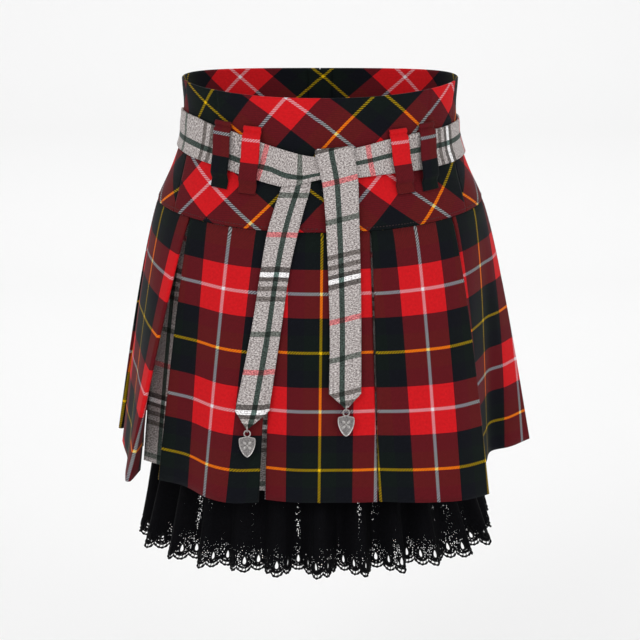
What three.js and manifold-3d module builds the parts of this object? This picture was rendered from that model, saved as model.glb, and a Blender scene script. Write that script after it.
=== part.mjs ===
// Kilt skirt: a bias-cut tartan yoke over ten box-pleat panels with check underlays,
// a gathered lace underskirt and a tied sash belt with two pendant charms.
// Millimetres, +Z up, X to the right of someone facing the front, front towards -Y.
// The origin is the centre of the waist opening, level with the rim at centre front.
import * as THREE from "three";
import { mergeVertices } from "three/addons/utils/BufferGeometryUtils.js";
import Module from "manifold-3d";

// Driving dimensions, mm unless named otherwise
const CLOTH = 1.6;            // folded tartan wall
const PLEAT_CLOTH = 1.4;      // single tartan layer of a pleat
const LACE_CLOTH = 1.0;       // net with its corded edging
const BELT_CLOTH = 1.8;       // sash, two layers turned out
const SEAM_GAP = 0.3;         // clearance between pieces sewn together
const ROUNDNESS = 2.2;        // power of the body curve, 2 is an ellipse
const RIM_SIDE_RISE = 8;      // rim at the side seams above the rim at the front
const RIM_BACK_RISE = 3;
const SEAM_SIDE_Z = -110;     // yoke seam at the sides
const SEAM_FRONT_DROP = 12;   // yoke seam at centre front below the sides
const SEAM_BACK_DROP = 4;
const SIDE_SEAM_TOP = 75;     // degrees round from the front at the rim
const SIDE_SEAM_FOOT = 60;    // degrees at the yoke seam
const HALF_GAP_DEG = 0.08;    // half a seam gap on the yoke, in degrees
const FOLD_INSET = 1.2;       // fold line's wall centre back from the panel boundary
const RETURN_WIDTH = 26;      // part of a pleat panel folded under, each side
const FOLD_DEPTH_TOP = 2.2;   // face to return, wall centres, at the seam
const FOLD_DEPTH_HEM = 4;
const RETURN_SWING = 9;       // how far a return swings in at the hem
const UNDERLAY_LAP = 4;       // underlay runs on behind the return
const UNDERLAY_RISE = 6;      // underlay hem above the tartan hem
const WAVES = 28;             // ruffle waves round the lace
const SCALLOPS_PER_WAVE = 4;
const LACE_TOP_Z = -90;
const LACE_TOP_WAVE = 0.6;
const LACE_HIP_Z = -368;
const SCALLOP_TOP_Z = -425;
const LACE_HEM_Z = -443;
const BELT_STAND_OFF = 1.6;   // yoke to sash wall centre
const KNOT_STAND_OFF = 2.4;   // more over the knot's inner turn
const LOOP_WIDTH = 17;
const LOOP_CLOTH = 1.6;
const RING_RADIUS = 3.1;      // jump ring, to the wire's centre
const WIRE_RADIUS = 0.65;
const CHARM_WIDTH = 15.6;
const CHARM_HEIGHT = 19.8;
const CHARM_THICK = 1.6;
const CHARM_LOOP_RADIUS = 3.6;
const CHARM_EYE_RADIUS = 2.2;
const LOOP_SUNK = 1.2;        // the loop's foot below the shield's top
const SHOULDER_DROP = 1.4;    // the shield's shoulders below its top
const ROSETTE_DROP = 8.6;     // the rosette's middle below the shield's top

// Half sizes of the body curve down the yoke; share 0 is the rim and 1 the yoke seam.
const YOKE_ROWS = [
  { share: 0.00, side: 134, front: 93, back: 104 },
  { share: 0.22, side: 132, front: 93, back: 101 },
  { share: 0.50, side: 135, front: 97, back: 102 },
  { share: 0.75, side: 146, front: 106, back: 111 },
  { share: 1.00, side: 160, front: 118, back: 122 },
];

// One row for each pleat panel: seam stations are lengths round the yoke seam from the
// centre front, hem points run from the panel's left edge to its right, seen from outside.
const PANELS = [
  { name: "panel_front_centre", from: -43.5, to: 47.5, swell: 2,
    hem: [[-52, -158, -370], [-28, -165.5, -370], [-1, -168, -370], [26, -168, -370], [52.5, -165, -370]] },
  { name: "panel_front_right", from: 47.5, to: 135, swell: 6,
    hem: [[56, -164, -370], [80, -167, -370], [107, -167, -370], [134, -161, -370], [161, -142, -370]] },
  { name: "panel_side_right", from: 135, to: 220, swell: 4,
    hem: [[158, -90, -366], [164, -60, -364], [171, -34, -362], [190, -26, -360], [212, -9, -357]] },
  { name: "panel_back_side_right", from: 220, to: 310, swell: 5,
    hem: [[209, 14, -357], [208, 42, -358], [201, 69, -360], [189, 94, -362], [172, 116, -364]] },
  { name: "panel_back_right", from: 310, to: 402, swell: 3,
    hem: [[158, 134, -365], [134, 152, -366], [108, 164, -367], [82, 170, -368], [58, 172, -368]] },
  { name: "panel_back_centre", from: 402, to: 497.8, swell: 2,
    hem: [[54, 176, -368], [28, 178, -368], [0, 178, -368], [-28, 178, -368], [-54, 176, -368]] },
  { name: "panel_back_left", from: -402, to: -312, swell: 3,
    hem: [[-58, 172, -368], [-84, 170, -368], [-110, 163, -367], [-135, 150, -366], [-158, 132, -365]] },
  { name: "panel_back_side_left", from: -312, to: -222, swell: 4,
    hem: [[-170, 122, -363], [-187, 100, -361], [-198, 76, -359], [-204, 50, -357], [-206, 22, -356]] },
  { name: "panel_side_left", from: -222, to: -133, swell: 4,
    hem: [[-199, -12, -358], [-194, -38, -359], [-190, -65, -360], [-188, -93, -362], [-186, -121, -365]] },
  { name: "panel_front_left", from: -133, to: -43.5, swell: 3,
    hem: [[-156, -112, -366], [-131, -127, -367], [-107, -152, -370], [-83, -165, -371], [-58, -164, -371]] },
];

// The lace is gathered on to the yoke's inside and falls straight between these levels.
const LACE_ROWS = [
  { z: LACE_HIP_Z, side: 156, front: 139, back: 145, shift: -8, wave: 6 },
  { z: LACE_HEM_Z, side: 166, front: 163, back: 164, shift: -8, wave: 10.5 },
];

// The front corners where the lace swings out towards its hem: degrees from the front, and reach.
const LACE_CORNERS = [{ deg: 58, reach: 16 }, { deg: -50, reach: 5 }];
const LACE_CORNER_SPREAD = 20;

// Upper and lower edge of the sash round the yoke, as yoke shares at degrees from the front.
const BELT_EDGES = [
  { deg: -180, upper: 0.32, lower: 0.60 },
  { deg: -100, upper: 0.28, lower: 0.57 },
  { deg: -86, upper: 0.25, lower: 0.55 },
  { deg: -60, upper: 0.25, lower: 0.57 },
  { deg: -46, upper: 0.28, lower: 0.58 },
  { deg: -35, upper: 0.30, lower: 0.60 },
  { deg: -24, upper: 0.34, lower: 0.63 },
  { deg: -12, upper: 0.38, lower: 0.67 },
  { deg: -3, upper: 0.40, lower: 0.67 },
  { deg: 5, upper: 0.39, lower: 0.64 },
  { deg: 13, upper: 0.38, lower: 0.61 },
  { deg: 25, upper: 0.34, lower: 0.60 },
  { deg: 43, upper: 0.32, lower: 0.61 },
  { deg: 62, upper: 0.33, lower: 0.62 },
  { deg: 86, upper: 0.33, lower: 0.61 },
  { deg: 180, upper: 0.32, lower: 0.60 },
];

// Carrier loops: centre line at the top and the foot, and the shades of the cloth.
const LOOPS = [
  { name: "loop_left_outer", degTop: -40.7, degFoot: -38.6, top: 0.23, foot: 0.74, colour: 0x5e1b1c },
  { name: "loop_left_inner", degTop: -25.9, degFoot: -25.8, top: 0.24, foot: 0.75, colour: 0xb51c20 },
  { name: "loop_right_inner", degTop: 30.8, degFoot: 31.2, top: 0.27, foot: 0.76, colour: 0xb51c20 },
  { name: "loop_right_outer", degTop: 46.4, degFoot: 43.2, top: 0.26, foot: 0.77, colour: 0x5e1b1c },
  { name: "loop_back_right", degTop: 140, degFoot: 140, top: 0.24, foot: 0.72, colour: 0x5e1b1c },
  { name: "loop_back_left", degTop: -140, degFoot: -140, top: 0.24, foot: 0.72, colour: 0x5e1b1c },
];

// Down a loop: share of its height, and how far its wall centre stands off the yoke.
const LOOP_PROFILE = [
  { at: 0.00, off: 1.6 }, { at: 0.05, off: 1.6 }, { at: 0.10, off: 5.8 }, { at: 0.30, off: 7.0 },
  { at: 0.62, off: 7.4 }, { at: 0.80, off: 6.2 }, { at: 0.87, off: 1.6 }, { at: 1.00, off: 1.6 },
];

// Hanging sash ends from the knot to the tip's shoulders: left and right edge, height and
// the wall centre's distance off the cloth beneath; then the blunt tip.
const RIGHT_END = {
  stations: [
    { left: 2, right: 27, z: -60, off: 1.4 }, { left: -1.5, right: 30, z: -46, off: 1.5 },
    { left: -3, right: 31.5, z: -43.4, off: 3.2 }, { left: -4, right: 31.6, z: -43.4, off: 5.6 },
    { left: -4.7, right: 31.8, z: -47, off: 7.4 }, { left: 1.7, right: 35.4, z: -75, off: 7.4 },
    { left: 3.8, right: 36, z: -92, off: 5.4 }, { left: 5.8, right: 36.8, z: -120, off: 4.4 },
    { left: 8, right: 38, z: -167, off: 3.4 }, { left: 9.1, right: 38.4, z: -215, off: 3.8 },
    { left: 8.5, right: 38.3, z: -268, off: 5.2 },
  ],
  tip: { x: 24.4, z: -280.5, off: 5.6 },
};
const LEFT_END = {
  stations: [
    { left: -30, right: -8, z: -60, off: 1.3 }, { left: -36, right: -9, z: -82, off: 1.6 },
    { left: -43, right: -15, z: -102, off: 3.2 }, { left: -49, right: -20.5, z: -122, off: 4.0 },
    { left: -55, right: -28, z: -155, off: 3.4 }, { left: -63.4, right: -36, z: -208, off: 3.6 },
    { left: -79, right: -47.6, z: -285, off: 5.2 },
  ],
  tip: { x: -68, z: -300.5, off: 5.6 },
};
const TIP_WIDTH = 2.6;
const HOLE_ABOVE_TIP = 3;
const HOLE_RADIUS = 1.3;
const END_LEAN = 11.3;        // degrees that the panel under a charm leans out

const COLOURS = {
  tartan: { colour: 0x8c1a1c, roughness: 0.85, metalness: 0 },
  check: { colour: 0x9b9392, roughness: 0.9, metalness: 0 },
  lace: { colour: 0x0b0b0f, roughness: 0.8, metalness: 0 },
  metal: { colour: 0x8b8687, roughness: 0.35, metalness: 0.9 },
};

// Curves
const radians = (degrees) => degrees * Math.PI / 180;
const mix = (a, b, k) => a + (b - a) * k;
const signedPower = (v, power) => Math.sign(v) * Math.abs(v) ** power;

// Values of a table's columns at one key, straight between its rows.
function lookUp(table, key, value) {
  let i = 1;
  while (i < table.length - 1 && value > table[i][key]) i += 1;
  const [low, high] = [table[i - 1], table[i]];
  const k = Math.min(Math.max((value - low[key]) / (high[key] - low[key]), 0), 1);
  const row = {};
  for (const column of Object.keys(low)) {
    if (typeof low[column] === "number") row[column] = mix(low[column], high[column], k);
  }
  return row;
}

function bodyCurve(angle, sizes) {
  const depth = Math.cos(angle) > 0 ? sizes.front : sizes.back;
  return {
    x: sizes.side * signedPower(Math.sin(angle), 2 / ROUNDNESS),
    y: -depth * signedPower(Math.cos(angle), 2 / ROUNDNESS),
  };
}

function yokePoint(degrees, share) {
  const angle = radians(degrees);
  const { x, y } = bodyCurve(angle, lookUp(YOKE_ROWS, "share", share));
  const [across, along] = [Math.sin(angle) ** 2, Math.cos(angle)];
  const rim = RIM_SIDE_RISE * across + (along < 0 ? RIM_BACK_RISE * along ** 2 : 0);
  const seam = SEAM_SIDE_Z - (along > 0 ? SEAM_FRONT_DROP : SEAM_BACK_DROP) * along ** 2;
  return new THREE.Vector3(x, y, mix(rim, seam, share));
}

// A point standing off the yoke along its outward normal.
function offYoke(degrees, share, off) {
  const here = yokePoint(degrees, share);
  const alongCurve = yokePoint(degrees + 0.4, share).sub(yokePoint(degrees - 0.4, share));
  const up = yokePoint(degrees, share - 0.03).sub(yokePoint(degrees, share + 0.03));
  const out = alongCurve.cross(up).normalize();
  return here.addScaledVector(out, off);
}

// The yoke seam laid out by length from the centre front, going to the right.
const SEAM_LINE = [];
function measureSeam() {
  const steps = 1440;
  let length = 0;
  let last = null;
  for (let i = 0; i <= steps; i += 1) {
    const degrees = i / steps * 360;
    const point = yokePoint(degrees, 1);
    if (last) length += Math.hypot(point.x - last.x, point.y - last.y);
    SEAM_LINE.push({ length, degrees });
    last = point;
  }
}
measureSeam();
const SEAM_LENGTH = SEAM_LINE[SEAM_LINE.length - 1].length;

function seamPoint(station) {
  const length = ((station % SEAM_LENGTH) + SEAM_LENGTH) % SEAM_LENGTH;
  return yokePoint(lookUp(SEAM_LINE, "length", length).degrees, 1);
}

// A smooth curve through points, cut into equal lengths.
function smoothSteps(points, count) {
  const curve = new THREE.CatmullRomCurve3(points.map((p) => new THREE.Vector3(...p)), false, "centripetal");
  return curve.getSpacedPoints(count);
}

// Solids
// A wall from matching outer and inner points and the outer face's triangles.
function wall(outer, inner, faces) {
  const shift = outer.length;
  const index = [];
  const edges = new Set();
  for (const [a, b, c] of faces) {
    index.push(a, b, c, a + shift, c + shift, b + shift);
    edges.add(`${a} ${b}`).add(`${b} ${c}`).add(`${c} ${a}`);
  }
  for (const edge of edges) {
    const [a, b] = edge.split(" ").map(Number);
    if (!edges.has(`${b} ${a}`)) index.push(b, a, a + shift, b, a + shift, b + shift);
  }
  const geometry = new THREE.BufferGeometry().setFromPoints([...outer, ...inner]);
  geometry.setIndex(index);
  geometry.computeVertexNormals();
  return geometry;
}

// Triangles of a grid whose rows run down and whose columns run right, seen from outside.
function gridFaces(rows, columns, ring = false) {
  const faces = [];
  const across = ring ? columns : columns - 1;
  for (let r = 0; r + 1 < rows; r += 1) {
    for (let c = 0; c < across; c += 1) {
      const next = (c + 1) % columns;
      const [a, b] = [r * columns + c, r * columns + next];
      const [d, e] = [a + columns, b + columns];
      faces.push([a, d, e], [a, e, b]);
    }
  }
  return faces;
}

function gridWall(outerRows, innerRows, ring = false) {
  const faces = gridFaces(outerRows.length, outerRows[0].length, ring);
  return wall(outerRows.flat(), innerRows.flat(), faces);
}

const skirt = new THREE.Group();
skirt.name = "kilt_skirt";

function add(name, geometry, look, colour = look.colour) {
  const material = new THREE.MeshStandardMaterial({
    color: colour, roughness: look.roughness, metalness: look.metalness,
  });
  const mesh = new THREE.Mesh(geometry, material);
  mesh.name = name;
  skirt.add(mesh);
}

// Yoke
function sideSeam(share) {
  return mix(SIDE_SEAM_TOP, SIDE_SEAM_FOOT, share);
}

function yokePiece(name, leftEdge, rightEdge, columns) {
  const rows = 6;
  const grid = (depth) => Array.from({ length: rows + 1 }, (_, r) => {
    const share = r / rows;
    return Array.from({ length: columns + 1 }, (_, c) => {
      const degrees = mix(leftEdge(share), rightEdge(share), c / columns);
      const point = offYoke(degrees, share, -depth);
      if (r === rows) point.z = yokePoint(degrees, share).z;
      return point;
    });
  });
  add(name, gridWall(grid(0), grid(CLOTH)), COLOURS.tartan);
}

yokePiece("yoke_front", (s) => -sideSeam(s) + HALF_GAP_DEG, (s) => sideSeam(s) - HALF_GAP_DEG, 20);
yokePiece("yoke_back_right", (s) => sideSeam(s) + HALF_GAP_DEG, () => 180 - HALF_GAP_DEG, 14);
yokePiece("yoke_back_left", () => 180 + HALF_GAP_DEG, (s) => 360 - sideSeam(s) - HALF_GAP_DEG, 14);

// Pleat panels
// The face line of a panel at one height; drop 0 is the yoke seam and 1 the hem.
function panelFace(panel, drop, count) {
  const hem = smoothSteps(panel.hem, count);
  const belly = panel.swell * Math.sin(Math.PI * drop ** 0.65);
  return hem.map((foot, i) => {
    const station = mix(panel.from + FOLD_INSET, panel.to - FOLD_INSET, i / count);
    const top = seamPoint(station);
    const before = seamPoint(station - 1);
    const after = seamPoint(station + 1);
    const out = new THREE.Vector3(after.y - before.y, before.x - after.x, 0).normalize();
    top.z -= SEAM_GAP + 0.4;
    top.addScaledVector(out, -PLEAT_CLOTH / 2);
    return top.lerp(foot, drop).addScaledVector(out, belly);
  });
}

// The fold line, back fold and free edge of the return at one side of a face line.
function panelReturn(face, side, drop) {
  const [corner, next] = side < 0 ? [face[0], face[1]] : [face[face.length - 1], face[face.length - 2]];
  const along = new THREE.Vector3(next.x - corner.x, next.y - corner.y, 0).normalize();
  const inward = new THREE.Vector3(along.y, -along.x, 0).multiplyScalar(side);
  const depth = mix(FOLD_DEPTH_TOP, FOLD_DEPTH_HEM, drop);
  const fold = corner.clone().addScaledVector(inward, depth);
  const edge = fold.clone().addScaledVector(along, RETURN_WIDTH);
  edge.addScaledVector(inward, RETURN_SWING * drop ** 1.5);
  edge.z = side < 0 ? face[3].z : face[face.length - 4].z;
  return { fold, edge, along, inward };
}

// Offsets a level line of points to both sides, mitred at its corners.
function thicken(line, thickness) {
  const half = thickness / 2;
  const outer = [];
  const inner = [];
  line.forEach((point, i) => {
    const from = line[Math.max(i - 1, 0)];
    const to = line[Math.min(i + 1, line.length - 1)];
    const first = new THREE.Vector2(point.x - from.x, point.y - from.y).normalize();
    const second = new THREE.Vector2(to.x - point.x, to.y - point.y).normalize();
    if (i === 0) first.copy(second);
    if (i === line.length - 1) second.copy(first);
    const a = new THREE.Vector2(first.y, -first.x);
    const b = new THREE.Vector2(second.y, -second.x);
    const mitre = a.clone().add(b);
    mitre.multiplyScalar(half / Math.max(mitre.dot(a), 0.5));
    outer.push(new THREE.Vector3(point.x + mitre.x, point.y + mitre.y, point.z));
    inner.push(new THREE.Vector3(point.x - mitre.x, point.y - mitre.y, point.z));
  });
  return { outer, inner };
}

const FACE_STEPS = 8;
const PLEAT_DROPS = [0, 0.12, 0.28, 0.5, 0.75, 1];

for (const panel of PANELS) {
  const outerRows = [];
  const innerRows = [];
  for (const drop of PLEAT_DROPS) {
    const face = panelFace(panel, drop, FACE_STEPS);
    const left = panelReturn(face, -1, drop);
    const right = panelReturn(face, 1, drop);
    const line = [left.edge, left.fold, ...face, right.fold, right.edge];
    const { outer, inner } = thicken(line, PLEAT_CLOTH);
    outerRows.push(outer);
    innerRows.push(inner);
  }
  add(panel.name, gridWall(outerRows, innerRows), COLOURS.tartan);
}

// Check underlays, one behind each pleat opening
PANELS.forEach((panel, i) => {
  const neighbour = PANELS[(i + 1) % PANELS.length];
  const rows = PLEAT_DROPS.map((drop) => {
    const short = drop * (1 - UNDERLAY_RISE / 250);
    const from = panelReturn(panelFace(panel, short, FACE_STEPS), 1, short);
    const to = panelReturn(panelFace(neighbour, short, FACE_STEPS), -1, short);
    const behind = PLEAT_CLOTH + mix(0.8, 2, drop);
    const start = from.edge.clone().addScaledVector(from.inward, behind);
    const end = to.edge.clone().addScaledVector(to.inward, behind);
    start.addScaledVector(from.along, UNDERLAY_LAP);
    end.addScaledVector(to.along, UNDERLAY_LAP);
    const line = [];
    for (let k = 0; k <= 4; k += 1) line.push(start.clone().lerp(end, k / 4));
    const inward = from.inward.clone().add(to.inward).normalize();
    const reach = [from.fold, to.fold].map((fold) => fold.clone().sub(line[2]).dot(inward) + behind);
    const push = Math.max(0, ...reach);
    [0, 0.5, 1, 0.5, 0].forEach((share, k) => line[k].addScaledVector(inward, push * share));
    return thicken(line, PLEAT_CLOTH);
  });
  const name = panel.name.replace("panel", "underlay_after");
  add(name, gridWall(rows.map((r) => r.outer), rows.map((r) => r.inner)), COLOURS.check);
});

// Gathered lace underskirt
// Ruffle waves swell and shrink round the hem, with two slow beats.
function ruffle(turn) {
  const phase = 2 * Math.PI * turn;
  const size = 1 + 0.28 * Math.sin(5 * phase + 0.6) + 0.16 * Math.sin(11 * phase + 2.1);
  return size * Math.sin(WAVES * phase + 0.7 * Math.sin(3 * phase) + 0.4);
}

function cornerSwing(degrees) {
  const turned = degrees > 180 ? degrees - 360 : degrees;
  let swing = 0;
  for (const { deg, reach } of LACE_CORNERS) {
    swing += reach * Math.exp(-(((turned - deg) / LACE_CORNER_SPREAD) ** 2));
  }
  return swing;
}

function laceTop(turn) {
  const degrees = turn * 360;
  const [rim, seam] = [yokePoint(degrees, 0).z, yokePoint(degrees, 1).z];
  const clear = CLOTH + 0.8 + LACE_CLOTH / 2 + 1.3 * LACE_TOP_WAVE;
  const point = offYoke(degrees, (rim - LACE_TOP_Z) / (rim - seam), LACE_TOP_WAVE * ruffle(turn) - clear);
  point.z = LACE_TOP_Z;
  return point;
}

function lacePoint(turn, z) {
  if (z > LACE_HIP_Z) {
    const share = (LACE_TOP_Z - z) / (LACE_TOP_Z - LACE_HIP_Z);
    return laceTop(turn).lerp(lacePoint(turn, LACE_HIP_Z), share).setZ(z);
  }
  const row = lookUp([...LACE_ROWS].reverse(), "z", z);
  const angle = 2 * Math.PI * turn;
  const { x, y } = bodyCurve(angle, row);
  const out = new THREE.Vector2(x / row.side ** 2, y / (y < 0 ? row.front : row.back) ** 2).normalize();
  const fall = Math.min((LACE_HIP_Z - z) / (LACE_HIP_Z - LACE_HEM_Z), 1);
  const swing = row.wave * ruffle(turn) + fall * cornerSwing(turn * 360);
  return new THREE.Vector3(x + row.shift + out.x * swing, y + out.y * swing, z);
}

// Turns that cut the hem into equal lengths of cloth.
function laceStations(count) {
  const steps = 6000;
  const lengths = [0];
  for (let i = 1; i <= steps; i += 1) {
    const step = lacePoint(i / steps, LACE_HEM_Z).distanceTo(lacePoint((i - 1) / steps, LACE_HEM_Z));
    lengths.push(lengths[i - 1] + step);
  }
  const stations = [];
  let at = 0;
  for (let k = 0; k <= count; k += 1) {
    const wanted = lengths[steps] * k / count;
    while (at < steps && lengths[at + 1] < wanted) at += 1;
    const span = lengths[at + 1] - lengths[at] || 1;
    stations.push((at + (wanted - lengths[at]) / span) / steps);
  }
  stations[count] = 1;
  return stations;
}

// One scallop as seen from outside: across 0 to 1 and heights below the scallop's top.
// Corners 0 to 6 go round its outline and 7 to 11 round its pear-shaped eyelet.
const SCALLOP = [
  { across: 0.00, down: 0 }, { across: 0.50, down: 0 }, { across: 1.00, down: 0 },
  { across: 1.00, down: 14.0 }, { across: 0.76, down: 18.0 }, { across: 0.24, down: 18.0 },
  { across: 0.00, down: 14.0 }, { across: 0.50, down: 4.0 }, { across: 0.70, down: 10.0 },
  { across: 0.62, down: 13.5 }, { across: 0.38, down: 13.5 }, { across: 0.30, down: 10.0 },
];
const SCALLOP_FACES = [
  [0, 7, 1], [1, 7, 2], [2, 7, 8], [2, 8, 3], [3, 8, 9], [3, 9, 4],
  [4, 9, 10], [4, 10, 5], [5, 10, 6], [6, 10, 11], [6, 11, 0], [0, 11, 7],
];

function laceHalf(name, firstScallop, scallops, stations) {
  const outer = [];
  const inner = [];
  const faces = [];
  const found = new Map();
  const vertex = (turn, z) => {
    const key = `${turn.toFixed(6)} ${z.toFixed(2)}`;
    if (!found.has(key)) {
      const here = lacePoint(turn, z);
      const along = lacePoint(turn + 0.0004, z).sub(lacePoint(turn - 0.0004, z));
      const up = lacePoint(turn, z + 1).sub(lacePoint(turn, z - 1));
      const out = along.cross(up).normalize();
      out.z = 0;
      found.set(key, outer.length);
      outer.push(here.clone().addScaledVector(out, LACE_CLOTH / 2));
      inner.push(here.addScaledVector(out, -LACE_CLOTH / 2));
    }
    return found.get(key);
  };
  const levels = [LACE_TOP_Z, LACE_HIP_Z, SCALLOP_TOP_Z];
  const gap = SEAM_GAP / 1600;
  const turnAt = (k) => {
    if (k === 2 * firstScallop) return stations[k] + gap;
    if (k === 2 * (firstScallop + scallops)) return stations[k] - gap;
    return stations[k];
  };
  for (let s = firstScallop; s < firstScallop + scallops; s += 1) {
    for (let k = 2 * s; k < 2 * s + 2; k += 1) {
      for (let r = 0; r + 1 < levels.length; r += 1) {
        const a = vertex(turnAt(k), levels[r]);
        const b = vertex(turnAt(k + 1), levels[r]);
        const d = vertex(turnAt(k), levels[r + 1]);
        const e = vertex(turnAt(k + 1), levels[r + 1]);
        faces.push([a, d, e], [a, e, b]);
      }
    }
    const corners = SCALLOP.map(({ across, down }) => {
      const [left, mid, right] = [turnAt(2 * s), turnAt(2 * s + 1), turnAt(2 * s + 2)];
      const turn = across < 0.5 ? mix(left, mid, across * 2) : mix(mid, right, across * 2 - 1);
      return vertex(turn, SCALLOP_TOP_Z - down);
    });
    for (const [a, b, c] of SCALLOP_FACES) faces.push([corners[a], corners[b], corners[c]]);
  }
  add(name, wall(outer, inner, faces), COLOURS.lace);
}

const SCALLOP_COUNT = WAVES * SCALLOPS_PER_WAVE;
const QUARTER = SCALLOP_COUNT / 4;
const STATIONS = laceStations(2 * SCALLOP_COUNT);
laceHalf("lace_right", 0, 2 * QUARTER, STATIONS);
laceHalf("lace_left", 2 * QUARTER, 2 * QUARTER, STATIONS);

// Sash belt
function beltRow(edge, off, columns) {
  return Array.from({ length: columns }, (_, c) => {
    const degrees = c / columns * 360 - 180;
    const row = lookUp(BELT_EDGES, "deg", degrees);
    const near = Math.exp(-((degrees / 22) ** 2));
    return offYoke(degrees, mix(row.upper, row.lower, edge), off + KNOT_STAND_OFF * near);
  });
}

const BELT_COLUMNS = 60;
const beltWall = (off) => [0, 0.5, 1].map((edge) => beltRow(edge, off, BELT_COLUMNS));
const beltFace = beltWall(BELT_STAND_OFF + BELT_CLOTH / 2);
const beltBack = beltWall(BELT_STAND_OFF - BELT_CLOTH / 2);
add("belt_band", gridWall(beltFace, beltBack, true), COLOURS.check);

// The cloth that lies under the hanging ends: front y at one x and z.
function frontY(x, z) {
  const table = [];
  if (z > SEAM_SIDE_Z - SEAM_FRONT_DROP) {
    for (let degrees = -60; degrees <= 60; degrees += 3) {
      let share = 0.5;
      for (let k = 0; k < 6; k += 1) share += (yokePoint(degrees, share).z - z) / 120;
      const point = yokePoint(degrees, share);
      table.push({ x: point.x, y: point.y });
    }
  } else {
    for (const name of ["panel_front_left", "panel_front_centre", "panel_front_right"]) {
      const panel = PANELS.find((entry) => entry.name === name);
      const drop = Math.min((z - SEAM_SIDE_Z + SEAM_FRONT_DROP) / (-370 - SEAM_SIDE_Z + SEAM_FRONT_DROP), 1);
      for (const point of panelFace(panel, drop, FACE_STEPS)) table.push({ x: point.x, y: point.y });
    }
  }
  table.sort((a, b) => a.x - b.x);
  return lookUp(table, "x", x).y;
}

// Walls to both sides of a grid of wall centres.
function sheetWall(rows, thickness) {
  const [last, end] = [rows.length - 1, rows[0].length - 1];
  const shifted = (sign) => rows.map((row, r) => row.map((point, c) => {
    const across = row[Math.min(c + 1, end)].clone().sub(row[Math.max(c - 1, 0)]);
    const up = rows[Math.max(r - 1, 0)][c].clone().sub(rows[Math.min(r + 1, last)][c]);
    const out = across.cross(up).normalize();
    return point.clone().addScaledVector(out, sign * thickness / 2);
  }));
  return gridWall(shifted(1), shifted(-1));
}

function beltEnd({ stations, tip }) {
  const shoulders = stations[stations.length - 1];
  const point = { left: tip.x - TIP_WIDTH / 2, right: tip.x + TIP_WIDTH / 2, z: tip.z, off: tip.off };
  const above = HOLE_ABOVE_TIP * 2.2 / (shoulders.z - tip.z);
  const near = {};
  for (const key of Object.keys(point)) near[key] = mix(point[key], shoulders[key], above);
  const rows = [...stations, near, point].map((station) => [0, 0.5, 1].map((across) => {
    const x = mix(station.left, station.right, across);
    return new THREE.Vector3(x, frontY(x, station.z) - station.off, station.z);
  }));
  return { geometry: sheetWall(rows, BELT_CLOTH), end: rows[rows.length - 1][1] };
}

// Exact cuts and joins
const kernel = await Module();
kernel.setup();

function toSolid(geometry) {
  const bare = geometry.clone();
  bare.deleteAttribute("normal");
  bare.deleteAttribute("uv");
  const merged = mergeVertices(bare);
  const mesh = new kernel.Mesh({
    numProp: 3,
    vertProperties: new Float32Array(merged.getAttribute("position").array),
    triVerts: new Uint32Array(merged.index.array),
  });
  return new kernel.Manifold(mesh);
}

function toGeometry(solid) {
  const mesh = solid.getMesh();
  const geometry = new THREE.BufferGeometry();
  geometry.setAttribute("position", new THREE.BufferAttribute(new Float32Array(mesh.vertProperties), 3));
  geometry.setIndex(new THREE.BufferAttribute(new Uint32Array(mesh.triVerts), 1));
  const faceted = geometry.toNonIndexed();
  faceted.computeVertexNormals();
  return faceted;
}

// Charms
function plate(shape) {
  const depth = CHARM_THICK;
  const geometry = new THREE.ExtrudeGeometry(shape, { depth, bevelEnabled: false, curveSegments: 8 });
  return toSolid(geometry.translate(0, 0, -depth / 2));
}

// A round post standing on the plate's middle plane, narrower at its free end.
function post(foot, top, height, x, y) {
  const geometry = new THREE.CylinderGeometry(top, foot, height, 10);
  return toSolid(geometry.rotateX(Math.PI / 2).translate(x, y, height / 2));
}

// Straight shoulders falling from the middle, round corners, and sides that sweep to the point.
function shieldShape(top) {
  const half = CHARM_WIDTH / 2;
  const [shoulder, point] = [top - SHOULDER_DROP, top - CHARM_HEIGHT];
  const shape = new THREE.Shape();
  shape.moveTo(0, point);
  shape.bezierCurveTo(half * 0.5, point + 3, half, shoulder - 11, half, shoulder - 5);
  shape.lineTo(half, shoulder - 1.2);
  shape.quadraticCurveTo(half, shoulder, half * 0.82, shoulder + 0.2);
  shape.lineTo(0, top);
  shape.lineTo(-half * 0.82, shoulder + 0.2);
  shape.quadraticCurveTo(-half, shoulder, -half, shoulder - 1.2);
  shape.lineTo(-half, shoulder - 5);
  shape.bezierCurveTo(-half, shoulder - 11, -half * 0.5, point + 3, 0, point);
  return shape;
}

// A shield plate with its hanging loop and a raised four-petal rosette, in the XY plane,
// with the jump ring's centre at the origin.
function charmSolid() {
  const eyeY = WIRE_RADIUS + 0.1 - RING_RADIUS - CHARM_EYE_RADIUS;
  const topY = eyeY - CHARM_LOOP_RADIUS + LOOP_SUNK;
  const loop = new THREE.Shape().absarc(0, eyeY, CHARM_LOOP_RADIUS, 0, 2 * Math.PI);
  const eye = new THREE.CylinderGeometry(CHARM_EYE_RADIUS, CHARM_EYE_RADIUS, 4 * CHARM_THICK, 16);
  const bore = toSolid(eye.rotateX(Math.PI / 2).translate(0, eyeY, 0));
  let charm = plate(shieldShape(topY)).add(plate(loop)).subtract(bore);
  const middle = topY - ROSETTE_DROP;
  for (let petal = 0; petal < 4; petal += 1) {
    const angle = Math.PI / 4 + petal * Math.PI / 2;
    const [x, y] = [3 * Math.cos(angle), middle + 3 * Math.sin(angle)];
    charm = charm.add(post(1.9, 1.6, CHARM_THICK / 2 + 0.5, x, y));
  }
  return charm.add(post(1.2, 0.9, CHARM_THICK / 2 + 0.8, 0, middle));
}

function hang(geometry, centre) {
  geometry.rotateX(radians(-END_LEAN));
  geometry.translate(centre.x, centre.y, centre.z);
  return geometry;
}

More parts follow.
